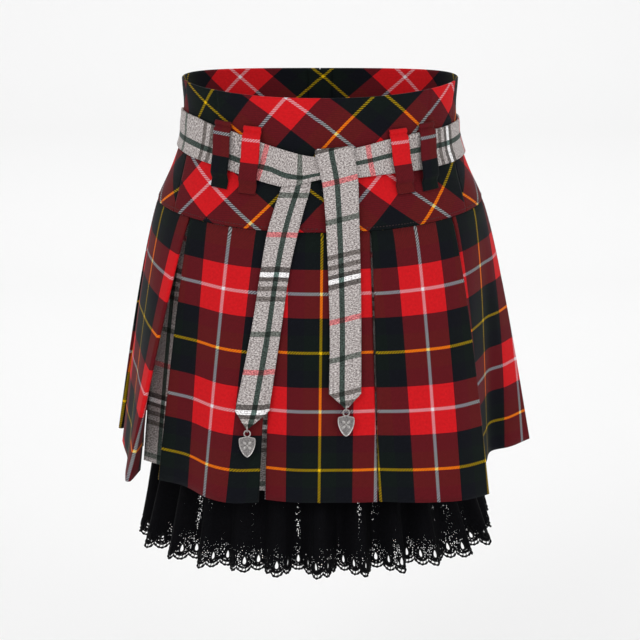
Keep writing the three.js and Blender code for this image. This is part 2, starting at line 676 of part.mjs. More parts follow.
for (const [side, shape] of [["right", RIGHT_END], ["left", LEFT_END]]) {
  const { geometry, end } = beltEnd(shape);
  const down = new THREE.Vector3(0, -Math.sin(radians(END_LEAN)), -Math.cos(radians(END_LEAN)));
  const hole = end.clone().addScaledVector(down, -HOLE_ABOVE_TIP);
  const drill = new THREE.CylinderGeometry(HOLE_RADIUS, HOLE_RADIUS, 12, 12);
  drill.rotateX(radians(-END_LEAN)).translate(hole.x, hole.y, hole.z);
  add(`belt_end_${side}`, toGeometry(toSolid(geometry).subtract(toSolid(drill))), COLOURS.check);
  const centre = hole.clone().addScaledVector(down, RING_RADIUS);
  const ring = new THREE.TorusGeometry(RING_RADIUS, WIRE_RADIUS, 7, 18).rotateY(Math.PI / 2);
  add(`charm_ring_${side}`, hang(ring, centre), COLOURS.metal);
  const charm = toGeometry(charmSolid()).rotateX(Math.PI / 2);
  add(`charm_${side}`, hang(charm, centre), COLOURS.metal);
}

// Carrier loops
for (const loop of LOOPS) {
  const rows = LOOP_PROFILE.map(({ at, off }) => [-0.5, 0, 0.5].map((across) => {
    const share = mix(loop.top, loop.foot, at);
    const middle = mix(loop.degTop, loop.degFoot, at);
    const arc = yokePoint(middle + 1, share).distanceTo(yokePoint(middle - 1, share)) / 2;
    return offYoke(middle + across * LOOP_WIDTH / arc, share, off);
  }));
  add(loop.name, sheetWall(rows, LOOP_CLOTH), COLOURS.tartan, loop.colour);
}

export default skirt;
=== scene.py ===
import math
from itertools import accumulate

import bmesh
import bpy
from mathutils import Matrix, Vector


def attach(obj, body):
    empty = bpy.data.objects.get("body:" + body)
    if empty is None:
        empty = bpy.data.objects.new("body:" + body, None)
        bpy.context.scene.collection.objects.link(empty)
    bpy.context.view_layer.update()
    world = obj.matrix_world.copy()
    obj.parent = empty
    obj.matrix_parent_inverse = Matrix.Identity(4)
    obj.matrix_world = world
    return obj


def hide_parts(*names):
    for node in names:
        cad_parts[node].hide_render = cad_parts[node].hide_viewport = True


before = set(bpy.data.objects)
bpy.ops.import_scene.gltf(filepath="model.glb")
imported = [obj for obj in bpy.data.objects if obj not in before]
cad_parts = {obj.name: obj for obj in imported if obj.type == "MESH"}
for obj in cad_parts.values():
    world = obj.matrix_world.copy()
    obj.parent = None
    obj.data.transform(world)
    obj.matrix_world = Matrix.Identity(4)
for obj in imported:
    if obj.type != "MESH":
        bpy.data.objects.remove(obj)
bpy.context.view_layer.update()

MM = 0.001
CLOTH = 1.6               # folded tartan
PLEAT_CLOTH = 1.3         # one layer of worsted
LACE_CLOTH = 0.7
BELT_CLOTH = 1.8          # sash, two layers turned out
ROUNDNESS = 2.2
SETT = 109.0              # tartan repeat both ways
CHECK_REPEAT = 125.5      # sash check repeat lengthwise
CHECK_WIDTH = 64          # and across
PLEAT_LENGTH = 250.0      # yoke seam to tartan hem
WAVES = 28
SCALLOPS = 112
LACE_TOP_Z = -90.0
LACE_HIP_Z = -368.0
SCALLOP_TOP_Z = -425.0
LACE_HEM_Z = -443.0
RING_RADIUS = 3.1
WIRE_RADIUS = 0.65
END_LEAN = 11.3

# share down the yoke, side, front and back half sizes
YOKE_ROWS = (
    (0.00, 134, 93, 104),
    (0.22, 132, 93, 101),
    (0.50, 135, 97, 102),
    (0.75, 146, 106, 111),
    (1.00, 160, 118, 122),
)

# name, seam stations from and to, swell, stripe on the centre line, hem points left to right
PANELS = (
    ("front_centre", -43.5, 47.5, 2, "yellow",
     ((-52, -158, -370), (-28, -165.5, -370), (-1, -168, -370), (26, -168, -370), (54, -165, -370))),
    ("front_right", 47.5, 135, 6, "white",
     ((55.4, -164, -370), (80, -167, -370), (107, -167, -370), (134, -161, -370), (161, -142, -370))),
    ("side_right", 135, 220, 4, "yellow",
     ((158, -90, -366), (164, -60, -364), (171, -34, -362), (190, -26, -360), (212, -9, -357))),
    ("back_side_right", 220, 310, 5, "white",
     ((209, 14, -357), (208, 42, -358), (201, 69, -360), (189, 94, -362), (172, 116, -364))),
    ("back_right", 310, 402, 3, "yellow",
     ((158, 134, -365), (134, 152, -366), (108, 164, -367), (82, 170, -368), (58, 172, -368))),
    ("back_centre", 402, 497.8, 2, "white",
     ((54, 176, -368), (28, 178, -368), (0, 178, -368), (-28, 178, -368), (-54, 176, -368))),
    ("back_left", -402, -312, 3, "yellow",
     ((-58, 172, -368), (-84, 170, -368), (-110, 163, -367), (-135, 150, -366), (-158, 132, -365))),
    ("back_side_left", -312, -222, 4, "white",
     ((-170, 122, -363), (-187, 100, -361), (-198, 76, -359), (-204, 50, -357), (-206, 22, -356))),
    ("side_left", -222, -133, 4, "yellow",
     ((-199, -12, -358), (-194, -38, -359), (-190, -65, -360), (-188, -93, -362), (-186, -121, -365))),
    ("front_left", -133, -43.5, 3, "white",
     ((-156, -112, -366), (-131, -127, -367), (-107, -152, -370), (-83, -165, -371), (-58, -164, -371))),
)

# how a panel's cloth is cut: scale, shift at the seam and at the hem across, and slope of the weft
CUTS = {
    "front_centre": (1.03, 0.0, 1.5, 0.0),
    "front_left": (0.89, -2.4, -2.4, 0.0),
    "side_left": (1.0, 0.0, 0.0, 0.09),
    "side_right": (1.0, 6.0, 13.0, 0.0),
}

# front corners where the lace swings out: degrees from the front, reach
LACE_CORNERS = ((58, 16), (-50, 5))

# degrees from the front, upper and lower edge of the sash as yoke shares
BELT_EDGES = (
    (-180, 0.32, 0.60), (-100, 0.28, 0.57), (-86, 0.25, 0.55), (-60, 0.25, 0.57),
    (-46, 0.28, 0.58), (-35, 0.30, 0.60), (-24, 0.345, 0.635), (-12, 0.40, 0.68),
    (-6, 0.43, 0.66), (-1, 0.45, 0.62), (5, 0.41, 0.61), (13, 0.38, 0.61), (25, 0.34, 0.60),
    (43, 0.32, 0.61), (62, 0.33, 0.62), (86, 0.33, 0.61), (180, 0.32, 0.60),
)

# name, degrees at the top and foot, shares at the top and foot, pattern across the middle,
# length from the top to the white line
LOOPS = (
    ("loop_left_outer", -40.7, -38.6, 0.23, 0.74, 38, 11.6),
    ("loop_left_inner", -25.9, -25.8, 0.24, 0.75, 12, 13.0),
    ("loop_right_inner", 30.8, 31.2, 0.27, 0.76, 12, 12.4),
    ("loop_right_outer", 46.4, 43.2, 0.26, 0.77, 38, 13.4),
    ("loop_back_right", 140, 140, 0.24, 0.72, 38, 12.0),
    ("loop_back_left", -140, -140, 0.24, 0.72, 38, 12.0),
)

# share down a loop, distance off the yoke
LOOP_PROFILE = (
    (0.00, 1.6), (0.02, 3.6), (0.05, 3.8), (0.08, 1.9), (0.13, 5.6), (0.30, 7.0), (0.62, 7.4),
    (0.80, 6.2), (0.87, 1.6), (1.00, 1.6),
)

# hanging sash ends: left edge, right edge, height, distance off the cloth beneath
RIGHT_END = (
    (2, 27, -60, 1.4), (-1.5, 30, -46, 1.5), (-3, 31.5, -43.4, 3.2), (-4, 31.6, -43.4, 5.6),
    (-4.7, 31.8, -47, 7.4), (1.7, 35.4, -75, 7.4), (3.8, 36, -92, 5.4), (5.8, 36.8, -120, 4.4),
    (8, 38, -167, 3.4), (9.1, 38.4, -215, 3.8), (8.5, 38.3, -268, 5.2), (23.1, 25.7, -280.5, 5.6),
)
LEFT_END = (
    (-30, -8, -60, 1.3), (-36, -9, -82, 1.6), (-43, -15, -102, 3.2), (-49, -20.5, -122, 4.0),
    (-55, -28, -155, 3.4), (-63.4, -36, -208, 3.6), (-79, -47.6, -285, 5.2), (-69.3, -66.7, -300.5, 5.6),
)
RING_CENTRES = {"right": Vector((24.4, -156.48, -280.595)), "left": Vector((-68, -157.79, -300.595))}


def mix(a, b, k):
    return a + (b - a) * k


def look_up(rows, value):
    """The other columns of a table at one value of its first column."""
    i = 1
    while i < len(rows) - 1 and value > rows[i][0]:
        i += 1
    low, high = rows[i - 1], rows[i]
    k = min(max((value - low[0]) / (high[0] - low[0]), 0), 1)
    return [mix(a, b, k) for a, b in zip(low[1:], high[1:])]


def smooth_look_up(rows, value, reach):
    """look_up, averaged a little to both sides so that the table's corners are eased."""
    steps = (-1, -0.5, 0, 0.5, 1)
    found = [look_up(rows, value + reach * step) for step in steps]
    return [sum(column) / len(steps) for column in zip(*found)]


def signed_power(value, power):
    return math.copysign(abs(value) ** power, value)


def body_curve(angle, side, front, back):
    depth = front if math.cos(angle) > 0 else back
    return (side * signed_power(math.sin(angle), 2 / ROUNDNESS),
            -depth * signed_power(math.cos(angle), 2 / ROUNDNESS))


def yoke_point(degrees, share):
    angle = math.radians(degrees)
    x, y = body_curve(angle, *smooth_look_up(YOKE_ROWS, share, 0.06))
    across, along = math.sin(angle) ** 2, math.cos(angle)
    rim = 8 * across + (3 * along ** 2 if along < 0 else 0)
    seam = -110 - (12 if along > 0 else 4) * along ** 2
    return Vector((x, y, mix(rim, seam, share)))


def off_yoke(degrees, share, off):
    """A point standing off the yoke along its outward normal."""
    across = yoke_point(degrees + 0.4, share) - yoke_point(degrees - 0.4, share)
    up = yoke_point(degrees, share - 0.03) - yoke_point(degrees, share + 0.03)
    return yoke_point(degrees, share) + across.cross(up).normalized() * off


def running_lengths(points):
    return [0.0, *accumulate((b - a).length for a, b in zip(points, points[1:]))]


# lengths round the yoke seam from the centre front, with their degrees
SEAM_DEGREES = [step / 4 for step in range(1441)]
SEAM_LINE = list(zip(running_lengths([yoke_point(degrees, 1).to_2d() for degrees in SEAM_DEGREES]),
                     SEAM_DEGREES))
SEAM_LENGTH = SEAM_LINE[-1][0]
SEAM_POINTS = {}


def seam_point(station):
    key = round(station % SEAM_LENGTH, 3)
    if key not in SEAM_POINTS:
        low, high = 0, len(SEAM_LINE) - 1
        while high - low > 1:
            middle = (low + high) // 2
            low, high = (middle, high) if SEAM_LINE[middle][0] < key else (low, middle)
        SEAM_POINTS[key] = yoke_point(look_up(SEAM_LINE[low:high + 1], key)[0], 1)
    return SEAM_POINTS[key].copy()


def spline(points, k):
    """A smooth curve through points at k from 0 to 1, with its corners weighted by distance."""
    ends = [points[0] * 2 - points[1], *points, points[-1] * 2 - points[-2]]
    spans = len(points) - 1
    i = min(int(k * spans), spans - 1)
    p = ends[i:i + 4]
    knots = [0.0]
    for a, b in zip(p, p[1:]):
        knots.append(knots[-1] + max((b - a).length, 1e-6) ** 0.5)
    at = mix(knots[1], knots[2], k * spans - i)
    for level in (1, 2):
        p = [a.lerp(b, (at - knots[j]) / (knots[j + level] - knots[j]))
             for j, (a, b) in enumerate(zip(p, p[1:]))]
    return p[0].lerp(p[1], (at - knots[1]) / (knots[2] - knots[1]))


def equal_cuts(lengths, count):
    """Cuts of running lengths into equal parts: each an index and a share of the way to the next."""
    at = 0
    for i in range(count + 1):
        wanted = lengths[-1] * i / count
        while at < len(lengths) - 2 and lengths[at + 1] < wanted:
            at += 1
        yield at, (wanted - lengths[at]) / (lengths[at + 1] - lengths[at])


def even_steps(points, count):
    """A smooth curve through points, cut into equal lengths."""
    fine = [spline(points, i / 200) for i in range(201)]
    return [fine[at].lerp(fine[at + 1], k) for at, k in equal_cuts(running_lengths(fine), count)]


# Meshes

def add_grid(bm, points, charts):
    """A sheet in bm: rows run down and columns right, seen from outside; charts are its UVs."""
    rows, columns = len(points) - 1, len(points[0]) - 1
    uv = bm.loops.layers.uv.get("UVMap") or bm.loops.layers.uv.new("UVMap")
    made = bmesh.ops.create_grid(bm, x_segments=columns, y_segments=rows, size=0.5)["verts"]
    cell = {v: (round((0.5 - v.co.y) * rows), round((v.co.x + 0.5) * columns)) for v in made}
    for vertex, (r, c) in cell.items():
        vertex.co = points[r][c] * MM
    for face in {face for vertex in made for face in vertex.link_faces}:
        face.smooth = True
        for loop in face.loops:
            r, c = cell[loop.vert]
            loop[uv].uv = (charts[r][c][0] * MM, charts[r][c][1] * MM)


def add_tube(bm, path, outs, radius, sides):
    """A round cord in bm along path, outs being directions across it."""
    points, charts = [], []
    for side in range(sides + 1):
        turn = 2 * math.pi * side / sides
        row = []
        for i, (here, out) in enumerate(zip(path, outs)):
            tangent = path[min(i + 1, len(path) - 1)] - path[max(i - 1, 0)]
            across = tangent.cross(out).normalized()
            size = radius(i) if callable(radius) else radius
            row.append(here + (out * math.cos(turn) + across * math.sin(turn)) * size)
        points.append(row)
        charts.append([(i * 0.8, side * 0.5) for i in range(len(path))])
    add_grid(bm, points, charts)


def mesh_object(name, bm, material):
    mesh = bpy.data.meshes.new(name)
    bm.to_mesh(mesh)
    bm.free()
    made = bpy.data.objects.new(name, mesh)
    bpy.context.scene.collection.objects.link(made)
    mesh.materials.append(material)
    return made


def finish_piece(name, bm, material, body="skirt", slot="tartan", wall=0.0, offset=0.0, merge=0.02,
                 turn=False):
    """A bmesh made an object with its wall, material and body; turn makes its faces look out; slot is not
    used.
    """
    bmesh.ops.remove_doubles(bm, verts=bm.verts, dist=merge * MM)
    if turn:
        bmesh.ops.recalc_face_normals(bm, faces=bm.faces)
    piece = mesh_object(name, bm, material)
    if wall:
        shell = piece.modifiers.new("cloth_thickness", "SOLIDIFY")
        shell.thickness = wall * MM
        shell.offset = offset
        shell.use_even_offset = False
    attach(piece, body)
    return piece


def cloth_piece(name, points, charts, material, **settings):
    """A piece made of one grid of points."""
    bm = bmesh.new()
    add_grid(bm, points, charts)
    return finish_piece(name, bm, material, **settings)


def sheet_piece(name, node, points, charts, material, flat, held, rests_on, digits=4, **settings):
    """A sheet of cloth: its piece and the node that it stands for; its cut is not used."""
    piece = cloth_piece(name, points, charts, material, **settings)
    if node:
        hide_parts(node)


# Materials

def rgb(code, alpha=1.0):
    """An sRGB hex colour as the linear values that Blender stores."""
    values = [int(code[i:i + 2], 16) / 255 for i in (1, 3, 5)]
    linear = [v / 12.92 if v <= 0.04045 else ((v + 0.055) / 1.055) ** 2.4 for v in values]
    return (*linear, alpha)


def add_node(tree, kind, inputs=(), **settings):
    """One shader node with its settings; inputs are (socket, value or another node's output)."""
    made = tree.nodes.new(f"ShaderNode{kind}")
    for name, value in settings.items():
        setattr(made, name, value)
    for socket, value in inputs:
        if isinstance(value, bpy.types.NodeSocket):
            tree.links.new(value, made.inputs[socket])
        else:
            made.inputs[socket].default_value = value
    return made


def calculate(tree, operation, *values):
    return add_node(tree, "Math", enumerate(values), operation=operation).outputs[0]


def remap(tree, value, low, high, to_low=0.0, to_high=1.0):
    """A value taken from one range to another and held inside it."""
    return add_node(tree, "MapRange", enumerate((value, low, high, to_low, to_high))).outputs[0]


def blend(tree, share, a, b, **settings):
    """Two colours mixed, the second by share."""
    return add_node(tree, "Mix", [(0, share), (6, a), (7, b)], data_type="RGBA", **settings).outputs[2]


def ramped(tree, value, colours, interpolation="LINEAR"):
    """A colour ramp's colour and alpha; colours are (position, colour)."""
    made = add_node(tree, "ValToRGB", [(0, value)])
    made.color_ramp.interpolation = interpolation
    elements = made.color_ramp.elements
    for i, (position, colour) in enumerate(colours):
        element = elements[i] if i < len(elements) else elements.new(position)
        element.position, element.color = position, colour
    return made.outputs


def noise(tree, place, scale, detail=2.0, roughness=0.5):
    """Noise with scale as cells to a metre."""
    return add_node(tree, "TexNoise", [("Vector", place), ("Scale", scale), ("Detail", detail),
                                       ("Roughness", roughness)]).outputs[0]


def stretched(tree, place, scale):
    return add_node(tree, "Mapping", [("Vector", place), ("Scale", scale)]).outputs[0]


def new_material(name, **sockets):
    """A principled material with its node tree and shader, and values on the shader's own sockets."""
    material = bpy.data.materials.new(name)
    material.use_nodes = True
    tree = material.node_tree
    shader = tree.nodes["Principled BSDF"]
    for socket, value in sockets.items():
        shader.inputs[socket.replace("_", " ")].default_value = value
    return material, tree, shader


def cloth_axes(tree):
    """The cloth's own flat coordinates in metres: as a vector, across, and down or along."""
    uv = add_node(tree, "UVMap", uv_map="UVMap")
    axes = add_node(tree, "SeparateXYZ", [(0, uv.outputs[0])])
    return uv.outputs[0], axes.outputs[0], axes.outputs[1]


def dress(tree, shader, colour, height, strength, distance):
    """Colour and relief on the shader, with the relief's distance in metres."""
    bump = add_node(tree, "Bump", [("Strength", strength), ("Distance", distance), ("Height", height)])
    tree.links.new(colour, shader.inputs["Base Color"])
    tree.links.new(bump.outputs[0], shader.inputs["Normal"])


def stripe_distance(tree, coordinate, repeat):
    """Distance from the nearest stripe centre, 0 to 1 over half a repeat in millimetres."""
    phase = calculate(tree, "MULTIPLY", coordinate, 2 / (repeat * MM))
    return calculate(tree, "PINGPONG", phase, 1.0)


def twill_height(tree, u, v, pitch, lean=1.0):
    """Diagonal twill ridges, pitch in mm along both axes; 0 to 1."""
    total = calculate(tree, "ADD", u, calculate(tree, "MULTIPLY", v, lean))
    wave = calculate(tree, "SINE", calculate(tree, "MULTIPLY", total, 2 * math.pi / (pitch * MM)))
    return remap(tree, wave, -1.0, 1.0)


def worsted_tartan():
    """Worsted wool tartan, 2/2 twill: half tones where two colours cross, a dry nap."""
    material, tree, shader = new_material("worsted_tartan_twill", Roughness=0.85, Sheen_Weight=0.03,
                                          Sheen_Roughness=0.45, Specular_IOR_Level=0.12)
    uv, u, v = cloth_axes(tree)
    # stripes from the white line out: white, red, navy, green, yellow; alpha 1 marks the fine
    # lines, whose bright yarn floats over what it crosses
    half = SETT / 2
    stripes = [(0.0, rgb("#dad5da")), (1.35 / half, rgb("#c8141b", 0)), (22.2 / half, rgb("#080a12", 0)),
               (38.2 / half, rgb("#08120f", 0)), (53.2 / half, rgb("#e2b400"))]
    warp, warp_line = ramped(tree, stripe_distance(tree, u, SETT), stripes, "CONSTANT")
    weft, weft_line = ramped(tree, stripe_distance(tree, v, SETT), stripes, "CONSTANT")
    # twill ridges are 1.8 mm apart here; the real ones of 0.9 mm wouldn't show
    twill = twill_height(tree, u, v, 2.6)
    floats = calculate(tree, "MAXIMUM", warp_line, weft_line)
    share = remap(tree, floats, 0.0, 1.0, 0.25, 0.46)
    crispness = remap(tree, floats, 0.0, 1.0, 0.16, 1.0)
    ridges = add_node(tree, "Mix", [(0, crispness), (2, 0.5), (3, twill)]).outputs[0]
    product = blend(tree, 1.0, warp, weft, blend_type="MULTIPLY")
    blended = add_node(tree, "Gamma", [(0, product), (1, 0.5)]).outputs[0]
    woven = blend(tree, share, blended, blend(tree, ridges, warp, weft))
    # slubs and uneven dye, a few millimetres long
    nap = noise(tree, uv, 420.0, 3.0)
    shade = remap(tree, nap, 0.25, 0.75, 0.86, 1.10)
    colour = blend(tree, 1.0, woven, shade, blend_type="MULTIPLY")
    dress(tree, shader, colour, calculate(tree, "ADD", twill, nap), 0.35, 0.00018)
    return material


def heather_check():
    """Grey heather wool check: mottled yarn with thin bands across and one dark line along."""
    material, tree, shader = new_material("heather_wool_check", Roughness=0.88, Sheen_Weight=0.06,
                                          Sheen_Roughness=0.5, Specular_IOR_Level=0.15)
    uv, u, v = cloth_axes(tree)
    # tints of the ground in order from the white band, in mm along the cloth
    plain, white, grey, dark = rgb("#ffffff"), (2.3, 2.5, 2.6, 1), rgb("#a3a09d"), rgb("#918f8d")
    bands = ((0.0, white), (2.4, dark), (6.3, plain), (10.6, grey), (14.9, plain), (19.8, grey),
             (24.1, plain), (51.7, rgb("#9aa6a0")), (56.6, plain), (86.4, (1.35, 0.46, 0.49, 1)),
             (91.3, plain), (118.2, dark), (123.1, white))
    repeat = calculate(tree, "FRACT", calculate(tree, "MULTIPLY", v, 1 / (CHECK_REPEAT * MM)))
    along = ramped(tree, repeat, [(at / CHECK_REPEAT, tint) for at, tint in bands], "CONSTANT")[0]
    width = calculate(tree, "FRACT", calculate(tree, "MULTIPLY", u, 1 / (CHECK_WIDTH * MM)))
    across = ramped(tree, width, [(0.0, plain), (0.04, rgb("#5c716b")), (0.118, plain)], "CONSTANT")[0]
    # heather flecks of light and dark yarn, 1 to 3 mm long
    fleck = noise(tree, stretched(tree, uv, (1.0, 2.0, 1.0)), 520.0, 4.0, 0.7)
    ground = ramped(tree, fleck, [(0.36, rgb("#4f4949")), (0.5, rgb("#a69d9b")), (0.60, rgb("#dcd6d3"))])[0]
    banded = blend(tree, 1.0, ground, along, blend_type="MULTIPLY")
    colour = blend(tree, 1.0, banded, across, blend_type="MULTIPLY", clamp_result=True)
    relief = calculate(tree, "ADD", twill_height(tree, u, v, 2.6, -1.0), fleck)
    dress(tree, shader, colour, relief, 0.5, 0.0002)
    return material


def black_lace():
    """Corded nylon lace, black with a faint blue cast: a dense net, open in streaks and at the hem."""
    material, tree, shader = new_material("black_corded_lace", Roughness=0.85, Specular_IOR_Level=0.06)
    uv, _, down = cloth_axes(tree)
    # the net's cells are 1.7 mm here; real ones of 0.8 mm wouldn't show
    cells = add_node(tree, "TexVoronoi", [("Vector", uv), ("Scale", 600.0), ("Randomness", 0.6)])
    cell = cells.outputs["Distance"]
    tint = ramped(tree, cell, [(0.0, rgb("#020203")), (0.6, rgb("#08080b"))])[0]
    patches = noise(tree, stretched(tree, uv, (1.0, 0.12, 1.0)), 60.0)
    streak = remap(tree, patches, 0.54, 0.70, 0.0, 0.44)
    hem = remap(tree, down, 0.412, 0.428, 0.04, 0.31)
    thread = calculate(tree, "GREATER_THAN", cell, calculate(tree, "MAXIMUM", streak, hem))
    tree.links.new(thread, shader.inputs["Alpha"])
    dress(tree, shader, tint, cell, 0.5, 0.0003)
    return material


def black_cord():
    """Twisted rayon cord, black: soft gloss on short diagonal strands, with a painted highlight on their
    crests and painted shade between them.
    """
    material, tree, shader = new_material("black_rayon_cord", Roughness=0.6, Specular_IOR_Level=0.12)
    _, u, v = cloth_axes(tree)
    strand = twill_height(tree, u, v, 1.6)
    # painted highlight and shade: the colour is lighter on the strands' crests and darker between them
    tint = ramped(tree, strand, [(0.0, rgb("#030304")), (1.0, rgb("#0b0b0e"))])[0]
    dress(tree, shader, tint, strand, 0.5, 0.0002)
    return material


def sewing_thread():
    """Spun polyester thread, dark red: matt, slightly fuzzy."""
    material, tree, shader = new_material("spun_dark_red_thread", Roughness=0.7, Sheen_Weight=0.1)
    fuzz = noise(tree, add_node(tree, "TexCoord").outputs["Object"], 1800.0)
    tint = blend(tree, fuzz, rgb("#3a1012"), rgb("#1c090a"))
    tree.links.new(tint, shader.inputs["Base Color"])
    return material


def cast_pewter(name, low, high):
    """Cast pewter, antiqued: bright rubbed faces, dull grey in the hollows, fine scratches."""
    material, tree, shader = new_material(name, Metallic=1.0, Roughness=0.38)
    grain = noise(tree, add_node(tree, "TexCoord").outputs["Object"], 1100.0, 5.0)
    tint = ramped(tree, grain, [(0.3, rgb(low)), (0.7, rgb(high))])[0]
    tree.links.new(remap(tree, grain, 0.3, 0.7, 0.48, 0.28), shader.inputs["Roughness"])
    dress(tree, shader, tint, grain, 0.3, 0.0001)
    return material


TARTAN = worsted_tartan()
CHECK = heather_check()
LACE = black_lace()
CORD = black_cord()
THREAD = sewing_thread()
PEWTER = cast_pewter("cast_pewter_rubbed_bright", "#8f8b8a", "#c9c6c3")
PEWTER_FIELD = cast_pewter("cast_pewter_darkened_field", "#5f5c5d", "#a19d9b")


# Yoke

GAP = 0.08                # half of each seam's gap, in degrees
YOKE_CUT_HEIGHT = 125     # length of its cut down the front and back
DIAGONAL = 0.7071


def half_turn(degrees):
    """Degrees from -180 to 180."""
    return (degrees + 180) % 360 - 180


def arc_at(degrees):
    """Length round the yoke's middle from the centre front, signed."""
    steps = max(int(abs(degrees) / 2), 1)
    line = [yoke_point(degrees * i / steps, 0.5) for i in range(steps + 1)]
    return math.copysign(running_lengths(line)[-1], degrees)


ARC = [(degrees, arc_at(degrees)) for degrees in range(-180, 181, 4)]


def back_chart(degrees, share):
    """Bias grain on the back yoke: two yellow lines cross just below the rim at the centre back."""
    turned = half_turn(degrees)
    across = (math.copysign(ARC[-1][1] - abs(look_up(ARC, turned)[0]), turned) - 3) / 1.15
    fall = YOKE_CUT_HEIGHT * share - 9
    return (SETT / 2 + (across + fall) * DIAGONAL, SETT / 2 + (fall - across) * DIAGONAL)


def bias_chart(degrees, share):
    """Bias grain on the yoke: the cloth turns about a point above it and has given sideways."""
    centre_above, sideways_give, shift_across, shift_down = 819.0, 1.154, 32.1, 1.1
    grain = math.radians(40.05)
    turn = look_up(ARC, half_turn(degrees))[0] / centre_above
    reach = centre_above + YOKE_CUT_HEIGHT * share
    across = (reach * math.sin(turn) + shift_across) / sideways_give
    fall = reach * math.cos(turn) - centre_above + shift_down
    return (across * math.cos(grain) + fall * math.sin(grain),
            fall * math.cos(grain) - across * math.sin(grain))


# degrees at the top and foot of each dart
DARTS = ((-45.5, -42.5), (49, 47))


def dart_dip(degrees, share):
    """Depth of the darts' sewn lines, and the little ease beside them."""
    dip = 0.0
    for top, foot in DARTS:
        if share < 0.9:
            away = (degrees - mix(top, foot, share)) * 2.2
            fade = min(1.0, (0.9 - share) / 0.12)
            dip += fade * (0.9 * math.exp(-(away / 1.1) ** 2) - 0.35 * math.exp(-((away - 4) / 3) ** 2))
    return dip


def yoke_piece(name, left, right, columns, rows=44):
    """One cut of the yoke, left and right being the degrees of its edges at the rim and the seam."""
    points, charts = [], []
    for r in range(rows + 1):
        share = r / rows
        row, chart = [], []
        for c in range(columns + 1):
            degrees = mix(mix(*left, share), mix(*right, share), c / columns)
            turned = half_turn(degrees)
            ease = 0.35 * math.sin(turned / 9 + 2.2 * share) * math.sin(math.pi * share)
            row.append(off_yoke(degrees, share, ease - dart_dip(turned, share)))
            chart.append(bias_chart(degrees, share) if name == "yoke_front" else back_chart(degrees, share))
        points.append(row)
        charts.append(chart)
    piece = cloth_piece(f"{name}_cloth", points, charts, TARTAN, wall=CLOTH, offset=-1.0)
    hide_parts(name)


yoke_piece("yoke_front", (GAP - 75, GAP - 60), (75 - GAP, 60 - GAP), 150)
yoke_piece("yoke_back_right", (75 + GAP, 60 + GAP), (180 - GAP, 180 - GAP), 100)
yoke_piece("yoke_back_left", (180 + GAP, 180 + GAP), (285 - GAP, 300 - GAP), 100)


def back_facing():
    """A narrow facing inside the centre back, behind the closure."""
    points, charts = [], []
    for r in range(41):
        share = 0.01 + 0.97 * r / 40
        degrees = range(176, 185)
        points.append([off_yoke(angle, share, -2.5) for angle in degrees])
        charts.append([back_chart(angle, share) for angle in degrees])
    sheet_piece("centre_back_facing", None, points, charts, TARTAN, (0.03, 0.13), "hung",
                "yoke_back_right_cloth", digits=5, wall=0.8, offset=-1.0)


back_facing()


# Pleat panels and their underlays

FACE_STEPS, FEW_STEPS = 28, 8
HEM_LINES = {(panel[0], count): even_steps([Vector(p) for p in panel[5]], count)
             for panel in PANELS for count in (FEW_STEPS, FACE_STEPS)}
RETURN_WIDTH = 26
RETURN_STEPS = 4


def panel_face(panel, drop, count=FACE_STEPS):
    """The points of a panel's face at one height, drop being 0 at the seam and 1 at the hem."""
    name, start, end, swell = panel[:4]
    feet = HEM_LINES[name, count]
    belly = swell * math.sin(math.pi * drop ** 0.65)
    line = []
    for i, foot in enumerate(feet):
        station = mix(start + 1.2, end - 1.2, i / count)
        top = seam_point(station)
        before, after = seam_point(station - 1), seam_point(station + 1)
        out = Vector((after.y - before.y, before.x - after.x, 0)).normalized()
        top.z -= 0.7
        top -= out * 0.7
        line.append(top.lerp(foot, drop) + out * belly)
    return line


def fold_depth(drop):
    """From a panel's face to its return behind it."""
    return mix(2.2, 4, drop)


def panel_return(face, side, drop):
    """The back fold and the return behind the face to its free edge, with its end directions."""
    line = face if side < 0 else face[::-1]
    depth, swing = fold_depth(drop), 9 * drop ** 1.5
    walked, path = 0.0, []
    stops = [RETURN_WIDTH / RETURN_STEPS * i for i in range(1, RETURN_STEPS + 1)]
    for here, after in zip(line, line[1:]):
        along = (after - here).to_2d().to_3d()
        step = along.length
        along.normalize()
        inward = Vector((along.y, -along.x, 0)) * side
        if not path:
            path.append(here + inward * depth)
        while len(path) <= len(stops) and stops[len(path) - 1] <= walked + step:
            stop = stops[len(path) - 1]
            at = here.lerp(after, (stop - walked) / step)
            path.append(at + inward * (depth + swing * stop / RETURN_WIDTH))
        walked += step
        if len(path) > RETURN_STEPS:
            break
    return path, along, inward


def rounded_return(face, side, drop, steps=6):
    """Points from a face's corner round the pressed fold to the return's free edge."""
    line = face if side < 0 else face[::-1]
    path, _, _ = panel_return(face, side, drop)
    along = (line[1] - line[0]).to_2d().to_3d().normalized()
    inward = Vector((along.y, -along.x, 0)) * side
    radius = fold_depth(drop) / 2
    centre = line[0] + inward * radius + along * radius
    turn = [centre - inward * radius * math.cos(a) - along * radius * math.sin(a)
            for a in (math.pi * i / steps for i in range(1, steps))]
    return turn + [path[0] + along * radius] + path[1:]


def stepped_in(corner, beside, radius):
    """A face's corner moved in to where its fold starts."""
    return corner.lerp(beside, min(radius / max((beside - corner).length, 0.1), 0.9))


PANEL_ROWS = 34
FIRST_WHITE = 56          # from the seam down to the white line across


